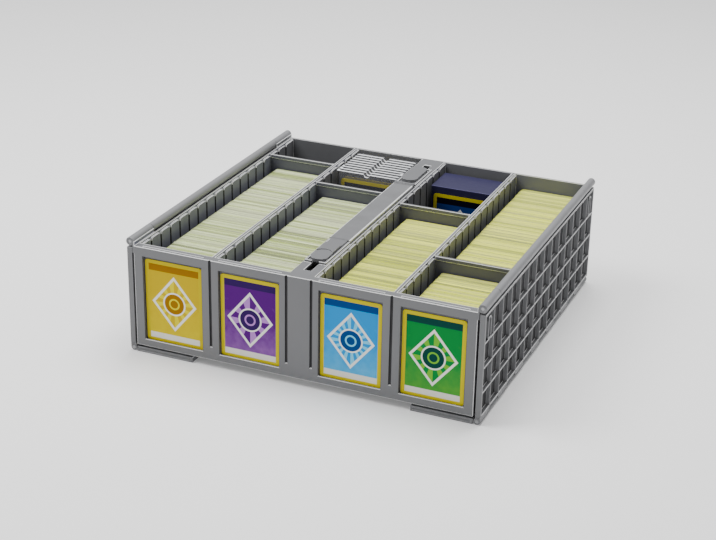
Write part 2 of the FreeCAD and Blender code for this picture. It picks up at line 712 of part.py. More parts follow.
def rear_pad():
    """The fixed rear pad, the low bridge to its cross bar and the end of the strap."""
    start, stop = from_end("rear", f"({PAD_END} - PadCorner)", f"({PAD_END} + NeckLength)")
    bridge = block(
        "rear_bridge",
        ("-PadWidth / 2", start, TOP),
        ("PadWidth", f"{stop} - {start}", "BridgeRise"),
    )
    bar_start, bar_stop = from_end("rear", f"({PAD_END} + BarSetback)", f"({PAD_END} + NeckLength)")
    strap_end = block(
        "rear_strap_end",
        ("-StrapWidth / 2", bar_start, STRAP_LOW),
        ("StrapWidth", f"{bar_stop} - {bar_start}", "StrapThickness"),
    )
    bar = block(
        "rear_bar",
        ("-StrapWidth / 2", f"{bar_start} + StrapThickness", TOP),
        ("StrapWidth", f"{bar_stop} - {bar_start} - StrapThickness", "BarRise"),
    )
    base = block(
        "rear_pad_base",
        ("-StemWidth / 2", from_end("rear", "(PadInset + PadCorner)", PAD_END)[0], TOP),
        ("StemWidth", "PadLength - PadCorner", "PadRise / 2"),
    )
    return join("handle_rear_pad", handle_pad("rear") + [bridge, strap_end, bar, base])


def strap_piece(name, near, far):
    """A piece of the strap between two bending lines, measured from the front face."""
    return block(
        name,
        ("-StrapWidth / 2", f"{FRONT} + {near} + FlexGap", STRAP_LOW),
        ("StrapWidth", f"({far}) - ({near}) - 2 * FlexGap", "StrapThickness"),
    )


def divider(row):
    """A divider plate standing in a pair of grooves."""
    name = f"divider_row_{row}"
    centre = ROW_CENTRE[row]
    middle = f"({INSIDE_FRONT} + {DIVIDER_GROOVE[row]} * BayPitch)"
    width = f"({CHANNEL} - 2 * DividerPlay)"
    top = f"({TOP} - DividerTopDrop)"
    plate = block(
        name + "_plate",
        (f"{centre} - {width} / 2", f"{middle} - DividerThickness / 2", STANDING),
        (width, "DividerThickness", f"{top} - {STANDING}"),
    )
    bead_width = f"({CLEAR_WIDTH} - 2 * DividerPlay)"
    bead = block(
        name + "_bead",
        (f"{centre} - {bead_width} / 2", f"{middle} - BeadThickness / 2", f"{top} - BeadHeight"),
        (bead_width, "BeadThickness", "BeadHeight"),
    )
    return join(name, [plate, bead])


def display_card(row):
    """The card behind one window."""
    middle = f"{FRONT} + FramePlate + {CARD_SLOT} / 2"
    low = f"{BASE} + CardSlotFloor + SeatGap"
    centre = ROW_CENTRE[row]
    return card(
        f"display_card_{row}", "CardWidth", "CardHeight", "CardThickness", centre, middle, low
    )


def stack(name, row, start, stop):
    """A row of upright cards from one place along Y to another."""
    length = f"({stop} - {start})"
    return card(
        name,
        "CardWidth",
        "CardHeight",
        length,
        ROW_CENTRE[row],
        f"({start} + {stop}) / 2",
        STANDING,
    )


def stacks():
    """The rows of cards in front of the four dividers, and the one behind the last."""
    pieces = []
    for row, groove in DIVIDER_GROOVE.items():
        middle = f"({INSIDE_FRONT} + {groove} * BayPitch)"
        bead = "(BeadThickness / 2 + StackPlay)"
        name = f"card_row_{row}"
        stop = f"({middle} - {bead})"
        if row == max(DIVIDER_GROOVE):
            start, end = f"({middle} + {bead})", f"({INSIDE_BACK} - StackPlay)"
            pieces.append(stack(name + "_rear", row, start, end))
            name += "_front"
        pieces.append(stack(name, row, f"({INSIDE_FRONT} + StackPlay)", stop))
    return pieces


def sleeves():
    """Clear rigid sleeves standing behind the divider of row 2, each with a card inside."""
    pieces = []
    centre = ROW_CENTRE[SLEEVE_ROW]
    for i in range(SLEEVES):
        middle = f"({INSIDE_BACK} - LastSleeve - {SLEEVES - 1 - i} * {SLEEVE_PITCH})"
        name = f"card_sleeve_{i + 1}"
        outer = block(
            name + "_outer",
            (f"{centre} - {SLEEVE_WIDTH} / 2", f"{middle} - {SLEEVE_THICKNESS} / 2", STANDING),
            (SLEEVE_WIDTH, SLEEVE_THICKNESS, SLEEVE_HEIGHT),
        )
        pocket = block(
            name + "_pocket",
            (
                f"{centre} - {POCKET} / 2",
                f"{middle} - {CARD_SLOT} / 2",
                f"{STANDING} + SleeveFloor",
            ),
            (POCKET, CARD_SLOT, SLEEVE_HEIGHT),
        )
        pieces.append(cut(name, outer, [pocket]))
        pieces.append(
            card(
                f"sleeved_card_{i + 1}",
                "CardWidth",
                "CardHeight",
                "CardThickness",
                centre,
                middle,
                f"{STANDING} + SleeveFloor",
            )
        )
    return pieces


def deck_block(name, inset, low, height):
    """A box centred on the deck box, smaller than its outside by the inset all round."""
    centre = ROW_CENTRE[DECK_ROW]
    front = f"({INSIDE_BACK} - DeckBoxBack - DeckBoxDepth)"
    return block(
        name,
        (f"{centre} - {DECK_WIDTH} / 2 + {inset}", f"{front} + {inset}", low),
        (f"{DECK_WIDTH} - 2 * {inset}", f"DeckBoxDepth - 2 * {inset}", height),
    )


def deck_box():
    """The deck box at the back of row 3: base with neck, lid and the cards inside."""
    base_height = f"({DECK_HEIGHT} - DeckLidHeight - SeatGap)"
    floor = f"({STANDING} + DeckBoxWall)"
    outer = deck_block("deck_base_outer", "0", STANDING, base_height)
    neck_height = f"{base_height} + DeckNeckHeight"
    neck = deck_block("deck_base_neck", DECK_NECK_INSET, STANDING, neck_height)
    room = deck_block("deck_base_room", DECK_ROOM_INSET, floor, DECK_HEIGHT)
    base = cut("deck_box", join("deck_base_solid", [outer, neck]), [room])
    lid_low = f"({STANDING} + {DECK_HEIGHT} - DeckLidHeight)"
    shell = deck_block("deck_lid_outer", "0", lid_low, "DeckLidHeight")
    hollow = deck_block("deck_lid_room", "DeckBoxWall", lid_low, "DeckLidHeight - DeckBoxWall")
    lid = cut("deck_box_lid", shell, [hollow])
    centre = ROW_CENTRE[DECK_ROW]
    middle = f"({INSIDE_BACK} - DeckBoxBack - DeckBoxDepth / 2)"
    length = f"(DeckBoxDepth - 2 * {DECK_ROOM_INSET} - 2 * SeatGap)"
    cards = card("deck_box_cards", "CardWidth", "CardHeight", length, centre, middle, floor)
    front = f"{INSIDE_BACK} - DeckBoxBack - DeckBoxDepth - PromoGap"
    single = card("single_card", "CardWidth", "CardHeight", "CardThickness", centre, front, STANDING)
    return [base, lid, cards, single]


parts = {"bin_body": tub()}
for side_name, side in SIDES.items():
    panel, flap = f"{side_name}_lid_panel", f"{side_name}_lid_flap"
    parts[panel] = lid_panel(panel, side)
    parts[flap] = lid_flap(flap, side)
    upper, lower = f"{side_name}_lid_pin", f"{side_name}_flap_pin"
    parts[upper] = pin(upper, side, UPPER_AXIS)
    parts[lower] = pin(lower, side, LOWER_AXIS)
parts["handle_front_pad"] = front_pad()
parts["handle_rear_pad"] = rear_pad()
front_bend, rear_bend = BEND, f"({DEPTH} - {BEND})"
front_knee, rear_knee = f"({front_bend} + LinkLength)", f"({rear_bend} - LinkLength)"
parts["handle_front_link"] = strap_piece("handle_front_link", front_bend, front_knee)
parts["handle_grip"] = strap_piece("handle_grip", front_knee, rear_knee)
parts["handle_rear_link"] = strap_piece("handle_rear_link", rear_knee, rear_bend)
for row in ROW_CENTRE:
    parts[f"divider_row_{row}"] = divider(row)
    parts[f"display_card_{row}"] = display_card(row)
for piece in stacks() + sleeves() + deck_box():
    parts[piece.Name] = piece
for label, piece in parts.items():
    piece.Label = label
doc.recompute()

for item in doc.Objects:
    if "Invalid" in item.State or "Error" in item.State:
        raise RuntimeError(f"{item.Name} did not compute: {item.State}")
for label, piece in parts.items():
    shape = piece.Shape
    if shape.isNull() or not shape.isValid() or len(shape.Solids) != 1:
        raise RuntimeError(f"{label} is not one valid solid: {len(shape.Solids)} solids")
    if piece.Label != label:
        raise RuntimeError(f"{label} has another label, {piece.Label}")

os.makedirs("parts", exist_ok=True)
for label, piece in parts.items():
    piece.Shape.exportStep(os.path.join("parts", f"{label}.step"))
print(len(parts), "parts written")
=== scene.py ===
# %% [markdown]
# # A storage bin for trading cards
# The bin is one grey moulding with four rows, a strap handle along its middle wall and a lid in
# two halves that hang down its sides. Everything is in metres: X runs across the rows, Y from
# the window front to the back, Z up. The engineering model comes first, as a fixed frame, and
# each piece here takes its place from it.

# %% Load the frame
import json
import math
import bmesh
import bpy
import numpy as np
from mathutils import Matrix, Vector

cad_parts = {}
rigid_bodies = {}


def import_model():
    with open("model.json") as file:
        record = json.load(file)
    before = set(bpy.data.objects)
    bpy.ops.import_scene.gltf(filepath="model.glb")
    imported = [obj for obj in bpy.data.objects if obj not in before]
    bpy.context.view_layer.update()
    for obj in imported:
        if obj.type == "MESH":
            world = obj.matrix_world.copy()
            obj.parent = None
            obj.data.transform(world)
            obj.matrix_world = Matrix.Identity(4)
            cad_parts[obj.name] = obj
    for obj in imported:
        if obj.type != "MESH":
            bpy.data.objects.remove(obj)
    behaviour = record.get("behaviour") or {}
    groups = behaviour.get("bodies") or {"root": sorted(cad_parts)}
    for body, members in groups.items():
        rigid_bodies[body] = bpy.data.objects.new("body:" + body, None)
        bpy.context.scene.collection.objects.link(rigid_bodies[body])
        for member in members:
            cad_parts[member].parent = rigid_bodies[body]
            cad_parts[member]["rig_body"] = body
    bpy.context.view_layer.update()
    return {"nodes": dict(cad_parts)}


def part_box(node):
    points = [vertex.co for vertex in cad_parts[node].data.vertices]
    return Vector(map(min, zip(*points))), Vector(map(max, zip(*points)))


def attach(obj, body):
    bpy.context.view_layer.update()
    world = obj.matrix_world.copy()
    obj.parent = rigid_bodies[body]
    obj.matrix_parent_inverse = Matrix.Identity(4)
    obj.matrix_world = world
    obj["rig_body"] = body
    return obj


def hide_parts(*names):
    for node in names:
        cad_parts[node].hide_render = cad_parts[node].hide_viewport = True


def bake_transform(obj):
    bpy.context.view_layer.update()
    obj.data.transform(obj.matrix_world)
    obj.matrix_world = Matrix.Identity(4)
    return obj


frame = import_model()
MM = 0.001

# %% [markdown]
# Operators act on whatever is selected, and the frame arrives selected. So every step starts by
# leaving one piece alone in the selection, and a modifier is applied as soon as it is added.

# %% Working on one piece at a time
def alone(piece):
    """Leaves this piece as the only one selected, and active."""
    bpy.ops.object.select_all(action="DESELECT")
    piece.select_set(True)
    bpy.context.view_layer.objects.active = piece
    return piece


def settle(piece, name):
    """Names a piece, moves its place into its mesh and gives it back."""
    alone(piece)
    bpy.ops.object.transform_apply(location=True, rotation=True, scale=True)
    piece.name = piece.data.name = name
    return piece


def modify(piece, kind, **settings):
    """Adds a modifier with these settings and applies it."""
    alone(piece)
    modifier = piece.modifiers.new(kind.lower(), kind)
    for key, value in settings.items():
        setattr(modifier, key, value)
    bpy.ops.object.modifier_apply(modifier=modifier.name)
    return piece


# %% [markdown]
# A material is a tree of nodes. Two helpers add a node and feed its sockets, with either another
# socket or a plain value, so that a whole finish can be written in a few lines.

# %% Nodes and sockets
def feed(tree, value, socket):
    """Connects a socket to this one, or sets it to a plain value."""
    if isinstance(value, bpy.types.NodeSocket):
        tree.links.new(value, socket)
    else:
        socket.default_value = value


def put(tree, kind, inputs=None, **settings):
    """Adds a node, sets its properties and feeds its inputs by name or number."""
    node = tree.nodes.new("ShaderNode" + kind)
    for key, value in settings.items():
        setattr(node, key, value)
    for key, value in (inputs or {}).items():
        feed(tree, value, node.inputs[key])
    return node


# %% Sums, mixes and steps
def sums(tree, operation, *values, clamp=False):
    """A Math node on sockets or numbers; gives its result."""
    node = put(tree, "Math", operation=operation, use_clamp=clamp)
    for i, value in enumerate(values):
        feed(tree, value, node.inputs[i])
    return node.outputs[0]


def blend_colours(tree, factor, first, second, mode="MIX"):
    """Mixes two colours by a factor; gives the result."""
    node = put(tree, "Mix", data_type="RGBA", blend_type=mode)
    for number, value in {0: factor, 6: first, 7: second}.items():
        feed(tree, value, node.inputs[number])
    return node.outputs[2]


def smooth_step(tree, value, low, high):
    """From 0 at low to 1 at high, eased at both ends; low may be the larger of the two."""
    node = put(tree, "MapRange", interpolation_type="SMOOTHSTEP", inputs={"Value": value})
    node.inputs["From Min"].default_value = low
    node.inputs["From Max"].default_value = high
    return node.outputs["Result"]


# %% [markdown]
# Every finish here has some noise in it, read from Object coordinates. Its scale counts waves
# per metre, so 1000 is a grain of a millimetre and 20 a cloud as wide as a hand.

# %% Noise and relief
def noise(tree, scale, detail, place=None):
    """Soft noise on Object coordinates, or on another place; gives a mask."""
    if place is None:
        place = put(tree, "TexCoord").outputs["Object"]
    node = put(tree, "TexNoise", {"Vector": place, "Scale": scale, "Detail": detail})
    return node.outputs["Fac"]


def relief(tree, height, strength, depth):
    """A Bump node on a height; gives the normal."""
    node = put(tree, "Bump", {"Height": height})
    node.inputs["Strength"].default_value = strength
    node.inputs["Distance"].default_value = depth
    return node.outputs["Normal"]


# %% Groups and materials
def new_group(name, inputs, outputs):
    """An empty node group with these sockets; gives the tree, its input node and output node."""
    tree = bpy.data.node_groups.new(name, "ShaderNodeTree")
    for way, sockets in (("INPUT", inputs), ("OUTPUT", outputs)):
        for socket_name, (kind, value) in sockets.items():
            socket = tree.interface.new_socket(
                socket_name, in_out=way, socket_type="NodeSocket" + kind
            )
            if value is not None:
                socket.default_value = value
    return tree, tree.nodes.new("NodeGroupInput"), tree.nodes.new("NodeGroupOutput")


def use_group(tree, group, **values):
    """Places a group in a material and feeds its inputs by name."""
    node = tree.nodes.new("ShaderNodeGroup")
    node.node_tree = group
    for key, value in values.items():
        feed(tree, value, node.inputs[key])
    return node


def new_material(name, **constants):
    """A material with its own Principled shader; constants go on the shader's sockets."""
    material = bpy.data.materials.new(name)
    material.use_nodes = True
    shader = material.node_tree.nodes["Principled BSDF"]
    for key, value in constants.items():
        shader.inputs[key.replace("_", " ")].default_value = value
    return material, material.node_tree, shader


# %% [markdown]
# Moulded plastic is never one flat grey. The steel mould leaves a fine even grain, the melt
# cools a little lighter and darker from place to place, and handling polishes some of it. One
# group makes all three, so the grain keeps its size on every piece.

# %% The grain of moulded plastic
CLOUD_SCALE, FLOW_SCALE, GRAIN_SCALE = 22.0, 160.0, 1900.0
CLOUD_SHARE, POLISH = 0.7, 0.25
MOULDING, enter, leave = new_group(
    "moulded_surface",
    {
        "Base": ("Color", (0.2, 0.2, 0.2, 1)),
        "Mottle": ("Float", 0.1),
        "Roughness": ("Float", 0.45),
        "Grain": ("Float", 0.3),
    },
    {"Color": ("Color", None), "Roughness": ("Float", None), "Height": ("Float", None)},
)
clouds = noise(MOULDING, CLOUD_SCALE, 4.0)
flow = noise(MOULDING, FLOW_SCALE, 3.0)
grain = noise(MOULDING, GRAIN_SCALE, 2.0)
fine = sums(MOULDING, "MULTIPLY", flow, 1 - CLOUD_SHARE)
mottle = sums(MOULDING, "MULTIPLY_ADD", clouds, CLOUD_SHARE, fine)
mottle = sums(MOULDING, "SUBTRACT", mottle, 0.5)
shade = sums(MOULDING, "MULTIPLY_ADD", mottle, enter.outputs["Mottle"], 1.0)
shade = put(MOULDING, "CombineColor", {0: shade, 1: shade, 2: shade}).outputs[0]
tinted = blend_colours(MOULDING, 1.0, enter.outputs["Base"], shade, "MULTIPLY")
handled = sums(MOULDING, "SUBTRACT", flow, 0.5)
handled = sums(MOULDING, "MULTIPLY_ADD", handled, POLISH, enter.outputs["Roughness"])
height = sums(MOULDING, "MULTIPLY", grain, enter.outputs["Grain"])
feed(MOULDING, tinted, leave.inputs["Color"])
feed(MOULDING, handled, leave.inputs["Roughness"])
feed(MOULDING, height, leave.inputs["Height"])
print("group", MOULDING.name, "with", len(MOULDING.nodes), "nodes")


# %% [markdown]
# The bin is one grey all over, but light falls on it unevenly, and that light and shade is painted
# into the other greys. Rounded edges catch the light and get a painted highlight, nearly white;
# recesses get painted shade, nearly black; ribs and barrels that catch the light get a painted
# lighter grey. Walls beside the cards take on some of the cards' yellow bounced light, so the grey
# there is painted a shade cooler against it. Each of these is the same moulding with other values.

# %% Plastic finishes
def moulded(name, base, mottle, roughness, grain):
    """A moulded plastic in one colour, with its mottle, roughness and height of grain."""
    material, tree, shader = new_material(name, IOR=1.5, Specular_IOR_Level=0.45)
    surface = use_group(
        tree, MOULDING, Base=(*base, 1), Mottle=mottle, Roughness=roughness, Grain=grain
    )
    normal = relief(tree, surface.outputs["Height"], 0.35, 0.05 * MM)
    feed(tree, surface.outputs["Color"], shader.inputs["Base Color"])
    feed(tree, surface.outputs["Roughness"], shader.inputs["Roughness"])
    feed(tree, normal, shader.inputs["Normal"])
    return material


GREY = moulded("grey_moulding", (0.145, 0.147, 0.154), 0.22, 0.46, 1.0)
# Painted highlight: a near-white grey for rounded edges, where light catches them.
GREY_HIGHLIGHT = moulded("grey_moulding_painted_highlight", (0.84, 0.845, 0.85), 0.15, 0.30, 0.4)
# Painted light: a lighter grey for the ribs and barrels where light catches them.
GREY_PAINTED_LIGHT = moulded("grey_moulding_painted_light", (0.21, 0.212, 0.22), 0.25, 0.40, 0.8)
# Painted shade: a near-black grey for the grooves, the lid's cells and the window tops.
GREY_PAINTED_SHADE = moulded("grey_moulding_painted_shade", (0.014, 0.014, 0.016), 0.20, 0.60, 1.0)
GREY_PLATE = moulded("grey_moulding_plate", (0.105, 0.107, 0.112), 0.22, 0.46, 1.0)
# Painted against bounce light: bluer greys for faces beside the yellow cards.
PLATE_COUNTER_BOUNCE = moulded("plate_moulding_counter_bounce", (0.105, 0.107, 0.142), 0.22, 0.46, 1.0)
GREY_COUNTER_BOUNCE = moulded("grey_moulding_counter_bounce", (0.140, 0.143, 0.190), 0.22, 0.46, 1.0)
GREY_STRAP = moulded("grey_moulding_strap", (0.155, 0.157, 0.163), 0.75, 0.50, 2.0)
NAVY = moulded("navy_moulding", (0.020, 0.018, 0.060), 0.30, 0.36, 0.8)
# Painted highlight: a lighter navy for the deck box's rounded edges.
NAVY_HIGHLIGHT = moulded("navy_moulding_painted_highlight", (0.08, 0.075, 0.17), 0.20, 0.25, 0.4)
print(len(bpy.data.materials), "materials so far")

# %% [markdown]
# The moulded pieces keep the engineer's shape, with one thing added: no real moulding has
# knife-sharp corners. A copy of each piece is merged into clean faces, its sharp edges are
# rounded with a Bevel modifier, and the narrow new faces get the painted highlight. Before
# that, faces are given their finish by where they are, painted light and shade among them. The
# numbers below are the places of the finishes in a piece's list of materials.

# %% Finding faces by their place
# Places of the finishes: plain, painted highlight, painted shade, painted light, and a cooler grey
# painted against the cards' bounced light.
FLAT, HIGHLIGHT, PAINTED_SHADE, PAINTED_LIGHT, COUNTER_BOUNCE = range(5)
SQUARELY = 0.9
NIL, NEAR = 0.01 * MM, 0.1 * MM


def faces_with_size(piece):
    """Each face of a piece with its lowest corner and its size along X, Y and Z."""
    for face in piece.data.polygons:
        points = np.array([piece.data.vertices[i].co for i in face.vertices])
        yield face, points.min(0), np.ptp(points, 0)


# %% Faces beside the cards
STACKS = ("card_row_1", "card_row_2", "card_row_3", "card_row_4_front", "card_row_4_rear")
STACK_BOXES = [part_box(node) for node in STACKS]
REACH, HALF_RIB = 15 * MM, 6 * MM


def beside_cards(face):
    """Whether an upright face looks at a stack of cards from close by."""
    probe = face.center + face.normal * REACH
    return abs(face.normal.z) < 1 - SQUARELY and any(
        low.x < probe.x < high.x and low.y - HALF_RIB < probe.y < high.y + HALF_RIB
        for low, high in STACK_BOXES
    )


def plate_details(piece):
    """Paints the sides of a divider that look at cards a cooler grey, against their bounced light.
    """
    for face in piece.data.polygons:
        face.material_index = COUNTER_BOUNCE if beside_cards(face) else FLAT


print(len(STACK_BOXES), "stacks of cards")

# %% [markdown]
# Upright ribs line the walls of the rows, and the grooves between them take the dividers. The
# ribs stop a little below the rim, with rounded corners. The wall behind them is one face with
# a comb-shaped outline, so it is first cut level with the ribs' tops. The short edges at both
# ends of each top are then selected by their place and length, and rounded with a bevel.

# %% The tops of the ribs
RIB_TOP, RIB_DEPTH, RIB_CORNER = 113 * MM, 1.6 * MM, 3 * MM
COMB_CORNERS = 60


def round_ribs(piece):
    """Rounds the corners of all the ribs' tops; gives their number."""
    bpy.ops.object.mode_set(mode="EDIT")
    bpy.ops.mesh.select_all(action="DESELECT")
    mesh = bmesh.from_edit_mesh(piece.data)
    for face in mesh.faces:
        tall = max(v.co.z for v in face.verts) > RIB_TOP + MM
        face.select = abs(face.normal.x) > SQUARELY and tall and len(face.verts) > COMB_CORNERS
    bmesh.update_edit_mesh(piece.data)
    bpy.ops.mesh.bisect(plane_co=(0, 0, RIB_TOP), plane_no=(0, 0, 1))
    bpy.ops.mesh.select_all(action="DESELECT")
    mesh = bmesh.from_edit_mesh(piece.data)
    corners = 0
    for edge in mesh.edges:
        a, b = (v.co for v in edge.verts)
        level = max(abs(a.z - RIB_TOP), abs(b.z - RIB_TOP), abs(a.y - b.y)) < NIL
        edge.select = level and abs(abs(a.x - b.x) - RIB_DEPTH) < NEAR / 2
        corners += edge.select
    bmesh.update_edit_mesh(piece.data)
    bpy.ops.mesh.bevel(offset=RIB_CORNER, segments=3, affect="EDGES", material=FLAT)
    bpy.ops.object.mode_set(mode="OBJECT")
    return corners


# %% Details of the tub
FRONT_FACE, TUB_INSIDE, TUB_SIDE = -180 * MM, 177.5 * MM, 178.6 * MM
RIM, WINDOW_TOP = 112 * MM, 100 * MM
GROOVE_WIDTH, GROOVE_HEIGHT = 3 * MM, 90 * MM


def tub_details(piece):
    """Rounds the ribs, paints shade in grooves, light on barrels and a cooler grey beside the
    cards.
    """
    corners = round_ribs(piece)
    counts = [0] * 5
    for face, low, size in faces_with_size(piece):
        flank = abs(face.normal.y) > SQUARELY and size[0] < 2 * RIB_DEPTH
        bottom = abs(face.normal.x) > SQUARELY and size[1] < GROOVE_WIDTH
        if (flank or bottom) and size[2] > GROOVE_HEIGHT:
            face.material_index = PAINTED_SHADE
        elif abs(face.center.x) > TUB_SIDE and face.center.z > RIM:
            face.material_index = PAINTED_LIGHT
        elif beside_cards(face):
            face.material_index = COUNTER_BOUNCE
        counts[face.material_index] += 1
    print(corners, "rib corners rounded; flat, highlight, painted_shade, painted_light, by cards:", counts)


def tub_edges(piece):
    """Paints shade on edges of grooves and window tops, and lighter grey on the barrels' edges."""
    for face, low, size in faces_with_size(piece):
        if face.material_index != HIGHLIGHT:
            continue
        upright = size[2] > 3 * max(size[0], size[1])
        inside = max(abs(face.center.x) - TUB_INSIDE, face.center.y - TUB_INSIDE) < 0
        above_window = low[1] < FRONT_FACE and WINDOW_TOP < face.center.z < RIM
        if (upright and inside) or above_window:
            face.material_index = PAINTED_SHADE
        elif abs(face.center.x) > TUB_SIDE:
            face.material_index = PAINTED_LIGHT


# %% [markdown]
# Each half of the lid is a thin skin with a lattice of ribs on it. The ribs' outer faces and
# sides and the barrels get a painted lighter grey, and the cells between the ribs painted shade.
# A face's depth tells which it is: it lies either on the skin or on the ribs. On the panels that
# depth is along X, and on the folded flaps it is along Z.

# %% Details of the lid
SKIN_FACE, RIB_FACE = 182.3 * MM, 186.3 * MM
FLAP_SKIN_FACE, FLAP_RIB_FACE = 4.0 * MM, 0.0
CELL_DEPTH = RIB_FACE - SKIN_FACE


def lid_details(piece):
    """Paints shade in the lattice's cells and a lighter grey on its ribs and barrels."""
    counts = [0] * 4
    for face, low, size in faces_with_size(piece):
        rib_side = abs(min(size[0], size[2]) - CELL_DEPTH) < NEAR
        if (abs(face.normal.y) > SQUARELY and rib_side) or face.center.z > RIM:
            face.material_index = PAINTED_LIGHT
            counts[PAINTED_LIGHT] += 1
            continue
        if abs(face.normal.x) > SQUARELY and size[0] < NIL:
            depth, skin, rib = abs(low[0]), SKIN_FACE, RIB_FACE
        elif face.normal.z < -SQUARELY and size[2] < NIL and "flap" in piece.name:
            depth, skin, rib = low[2], FLAP_SKIN_FACE, FLAP_RIB_FACE
        else:
            continue
        if abs(depth - skin) < NEAR:
            face.material_index = PAINTED_SHADE
        elif abs(depth - rib) < NEAR:
            face.material_index = PAINTED_LIGHT
        counts[face.material_index] += 1
    print(piece.name, "flat, highlight, painted_shade, painted_light:", counts)


def lid_edges(piece):
    """Keeps the painted highlight on edges that run front to back; the rest get painted light."""
    for face, low, size in faces_with_size(piece):
        if face.material_index == HIGHLIGHT and max(size[0], size[2]) > size[1]:
            face.material_index = PAINTED_LIGHT


# %% [markdown]
# One function does the same to every moulded piece. Faces with inward corners are split before
# the bevel, because a bevel on them leaves faces that Blender can't shade. The weighted normals
# at the end keep large flat faces flat and let only the rounded edges turn the light.

# %% Rounding the edges of a moulded piece
def merged_copy(node, finishes):
    """A copy of a node with clean flat faces and this list of materials."""
    piece = bpy.data.objects.new(node + "_moulding", frame["nodes"][node].data.copy())
    bpy.context.scene.collection.objects.link(piece)
    piece.data.name = piece.name
    alone(piece)
    bpy.ops.mesh.customdata_custom_splitnormals_clear()
    piece.data.materials.clear()
    for material in finishes:
        piece.data.materials.append(material)
    bpy.ops.object.mode_set(mode="EDIT")
    bpy.ops.mesh.select_all(action="SELECT")
    bpy.ops.mesh.remove_doubles(threshold=0.002 * MM)
    bpy.ops.mesh.dissolve_limited(angle_limit=math.radians(0.5))
    bpy.ops.object.mode_set(mode="OBJECT")
    return piece


def softened(node, width, finishes, details=None, edges=None, clamp=False):
    """A merged copy of a node with its sharp edges rounded, standing for that node."""
    piece = merged_copy(node, finishes)
    if details:
        details(piece)
    bpy.ops.object.mode_set(mode="EDIT")
    bpy.ops.mesh.select_all(action="SELECT")
    bpy.ops.mesh.vert_connect_concave()
    bpy.ops.object.mode_set(mode="OBJECT")
    modify(
        piece,
        "BEVEL",
        width=width,
        segments=2,
        limit_method="ANGLE",
        angle_limit=math.radians(40),
        use_clamp_overlap=clamp,
        # The rounded faces take the painted highlight.
        material=HIGHLIGHT,
    )
    if edges:
        edges(piece)
    bpy.ops.object.shade_smooth_by_angle(angle=math.radians(45))
    modify(piece, "WEIGHTED_NORMAL", keep_sharp=True)
    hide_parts(node)
    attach(piece, frame["nodes"][node]["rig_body"])
    return piece


# %% The moulded pieces
TUB_ROUND, PART_ROUND, BOX_ROUND = 0.45 * MM, 0.4 * MM, 0.5 * MM
GREYS = (GREY, GREY_HIGHLIGHT, GREY_PAINTED_SHADE, GREY_PAINTED_LIGHT)
PLATES = (GREY_PLATE, GREY_HIGHLIGHT, GREY_PAINTED_SHADE, GREY_PAINTED_LIGHT, PLATE_COUNTER_BOUNCE)
softened(
    "bin_body", TUB_ROUND, (*GREYS, GREY_COUNTER_BOUNCE), tub_details, tub_edges
)
for side in ("left", "right"):
    for part in ("panel", "flap"):
        softened(
            f"{side}_lid_{part}", PART_ROUND, GREYS, lid_details, lid_edges
        )
for end in ("rear", "front"):
    softened(f"handle_{end}_pad", PART_ROUND, GREYS, clamp=True)
for row in range(1, 5):
    softened(f"divider_row_{row}", PART_ROUND, PLATES, plate_details)
for node in ("deck_box", "deck_box_lid"):
    softened(node, BOX_ROUND, (NAVY, NAVY_HIGHLIGHT))
print(len([piece for piece in bpy.data.objects if "_moulding" in piece.name]), "moulded pieces")

# %% [markdown]
# The handle's strap is one flexible strip. It bends at four places when it is pulled up, so it
# is made in four stretches that meet end to end, each with one bend in its middle. Each stretch
# is cut across every two millimetres.

# %% One stretch of the strap
STRAP_LOW, STRAP_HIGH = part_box("handle_grip")
STRAP_MIDDLE, STRAP_THICK = (STRAP_LOW.z + STRAP_HIGH.z) / 2, STRAP_HIGH.z - STRAP_LOW.z
STRAP_WIDTH, STRAP_ROUND, STRAP_CUT = 2 * STRAP_HIGH.x, 1.1 * MM, 2.0
SHORT_EDGE = 5 * MM


def strap_stretch(name, start, stop):
    """A stretch of the strap from start to stop along Y, in millimetres."""
    bpy.ops.object.select_all(action="DESELECT")
    bpy.ops.mesh.primitive_cube_add(size=1, location=(0, (start + stop) / 2 * MM, STRAP_MIDDLE))
    piece = bpy.context.object
    piece.scale = (STRAP_WIDTH, (start - stop) * MM, STRAP_THICK)
    settle(piece, name)
    for material in (GREY_STRAP, GREY_HIGHLIGHT):
        piece.data.materials.append(material)
    bpy.ops.object.mode_set(mode="EDIT")
    mesh = bmesh.from_edit_mesh(piece.data)
    for edge in mesh.edges:
        a, b = edge.verts
        edge.select = abs(a.co.y - b.co.y) > SHORT_EDGE
    bmesh.update_edit_mesh(piece.data)
    # The strap's rounded edges take the painted highlight.
    bpy.ops.mesh.bevel(offset=STRAP_ROUND, segments=4, affect="EDGES", material=HIGHLIGHT)
    for i in range(1, round((start - stop) / STRAP_CUT)):
        bpy.ops.mesh.select_all(action="SELECT")
        cut = (start - STRAP_CUT * i) * MM
        bpy.ops.mesh.bisect(plane_co=(0, cut, 0), plane_no=(0, 1, 0))
    bpy.ops.object.mode_set(mode="OBJECT")
    bpy.ops.object.shade_smooth_by_angle(angle=math.radians(45))
    modify(piece, "WEIGHTED_NORMAL", keep_sharp=True)
    return piece


# %% The strap
BENDS = {
    "rear_bend": ("bin", "handle_rear_link", 83.5),
    "rear_knee": ("handle_rear_link", "handle_grip", 33.5),
    "front_knee": ("handle_grip", "handle_front_link", -33.5),
    "front_bend": ("handle_front_link", "handle_front_pad", -83.5),
}
STRAP_ENDS = [84.9, 58.5, 0.0, -58.5, -84.9]
for (name, (near, far, bend)), start, stop in zip(BENDS.items(), STRAP_ENDS, STRAP_ENDS[1:]):
    piece = strap_stretch("handle_strap_" + name, start, stop)
    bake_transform(piece)
    if far != "handle_front_pad":
        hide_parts(far)
    print(piece.name, len(piece.data.polygons), "faces")

# %% [markdown]
# A trading card is a rounded slip of card a third of a millimetre thick. One is drawn as a
# plane, its four corners are rounded with a vertex bevel, and it is extruded to its thickness.
# Its own UV map puts the print on it wherever it stands.

# %% One card
CARD_WIDTH, CARD_HEIGHT, CARD_CORNER, CARD_STOCK = 63 * MM, 88 * MM, 3 * MM, 0.32 * MM


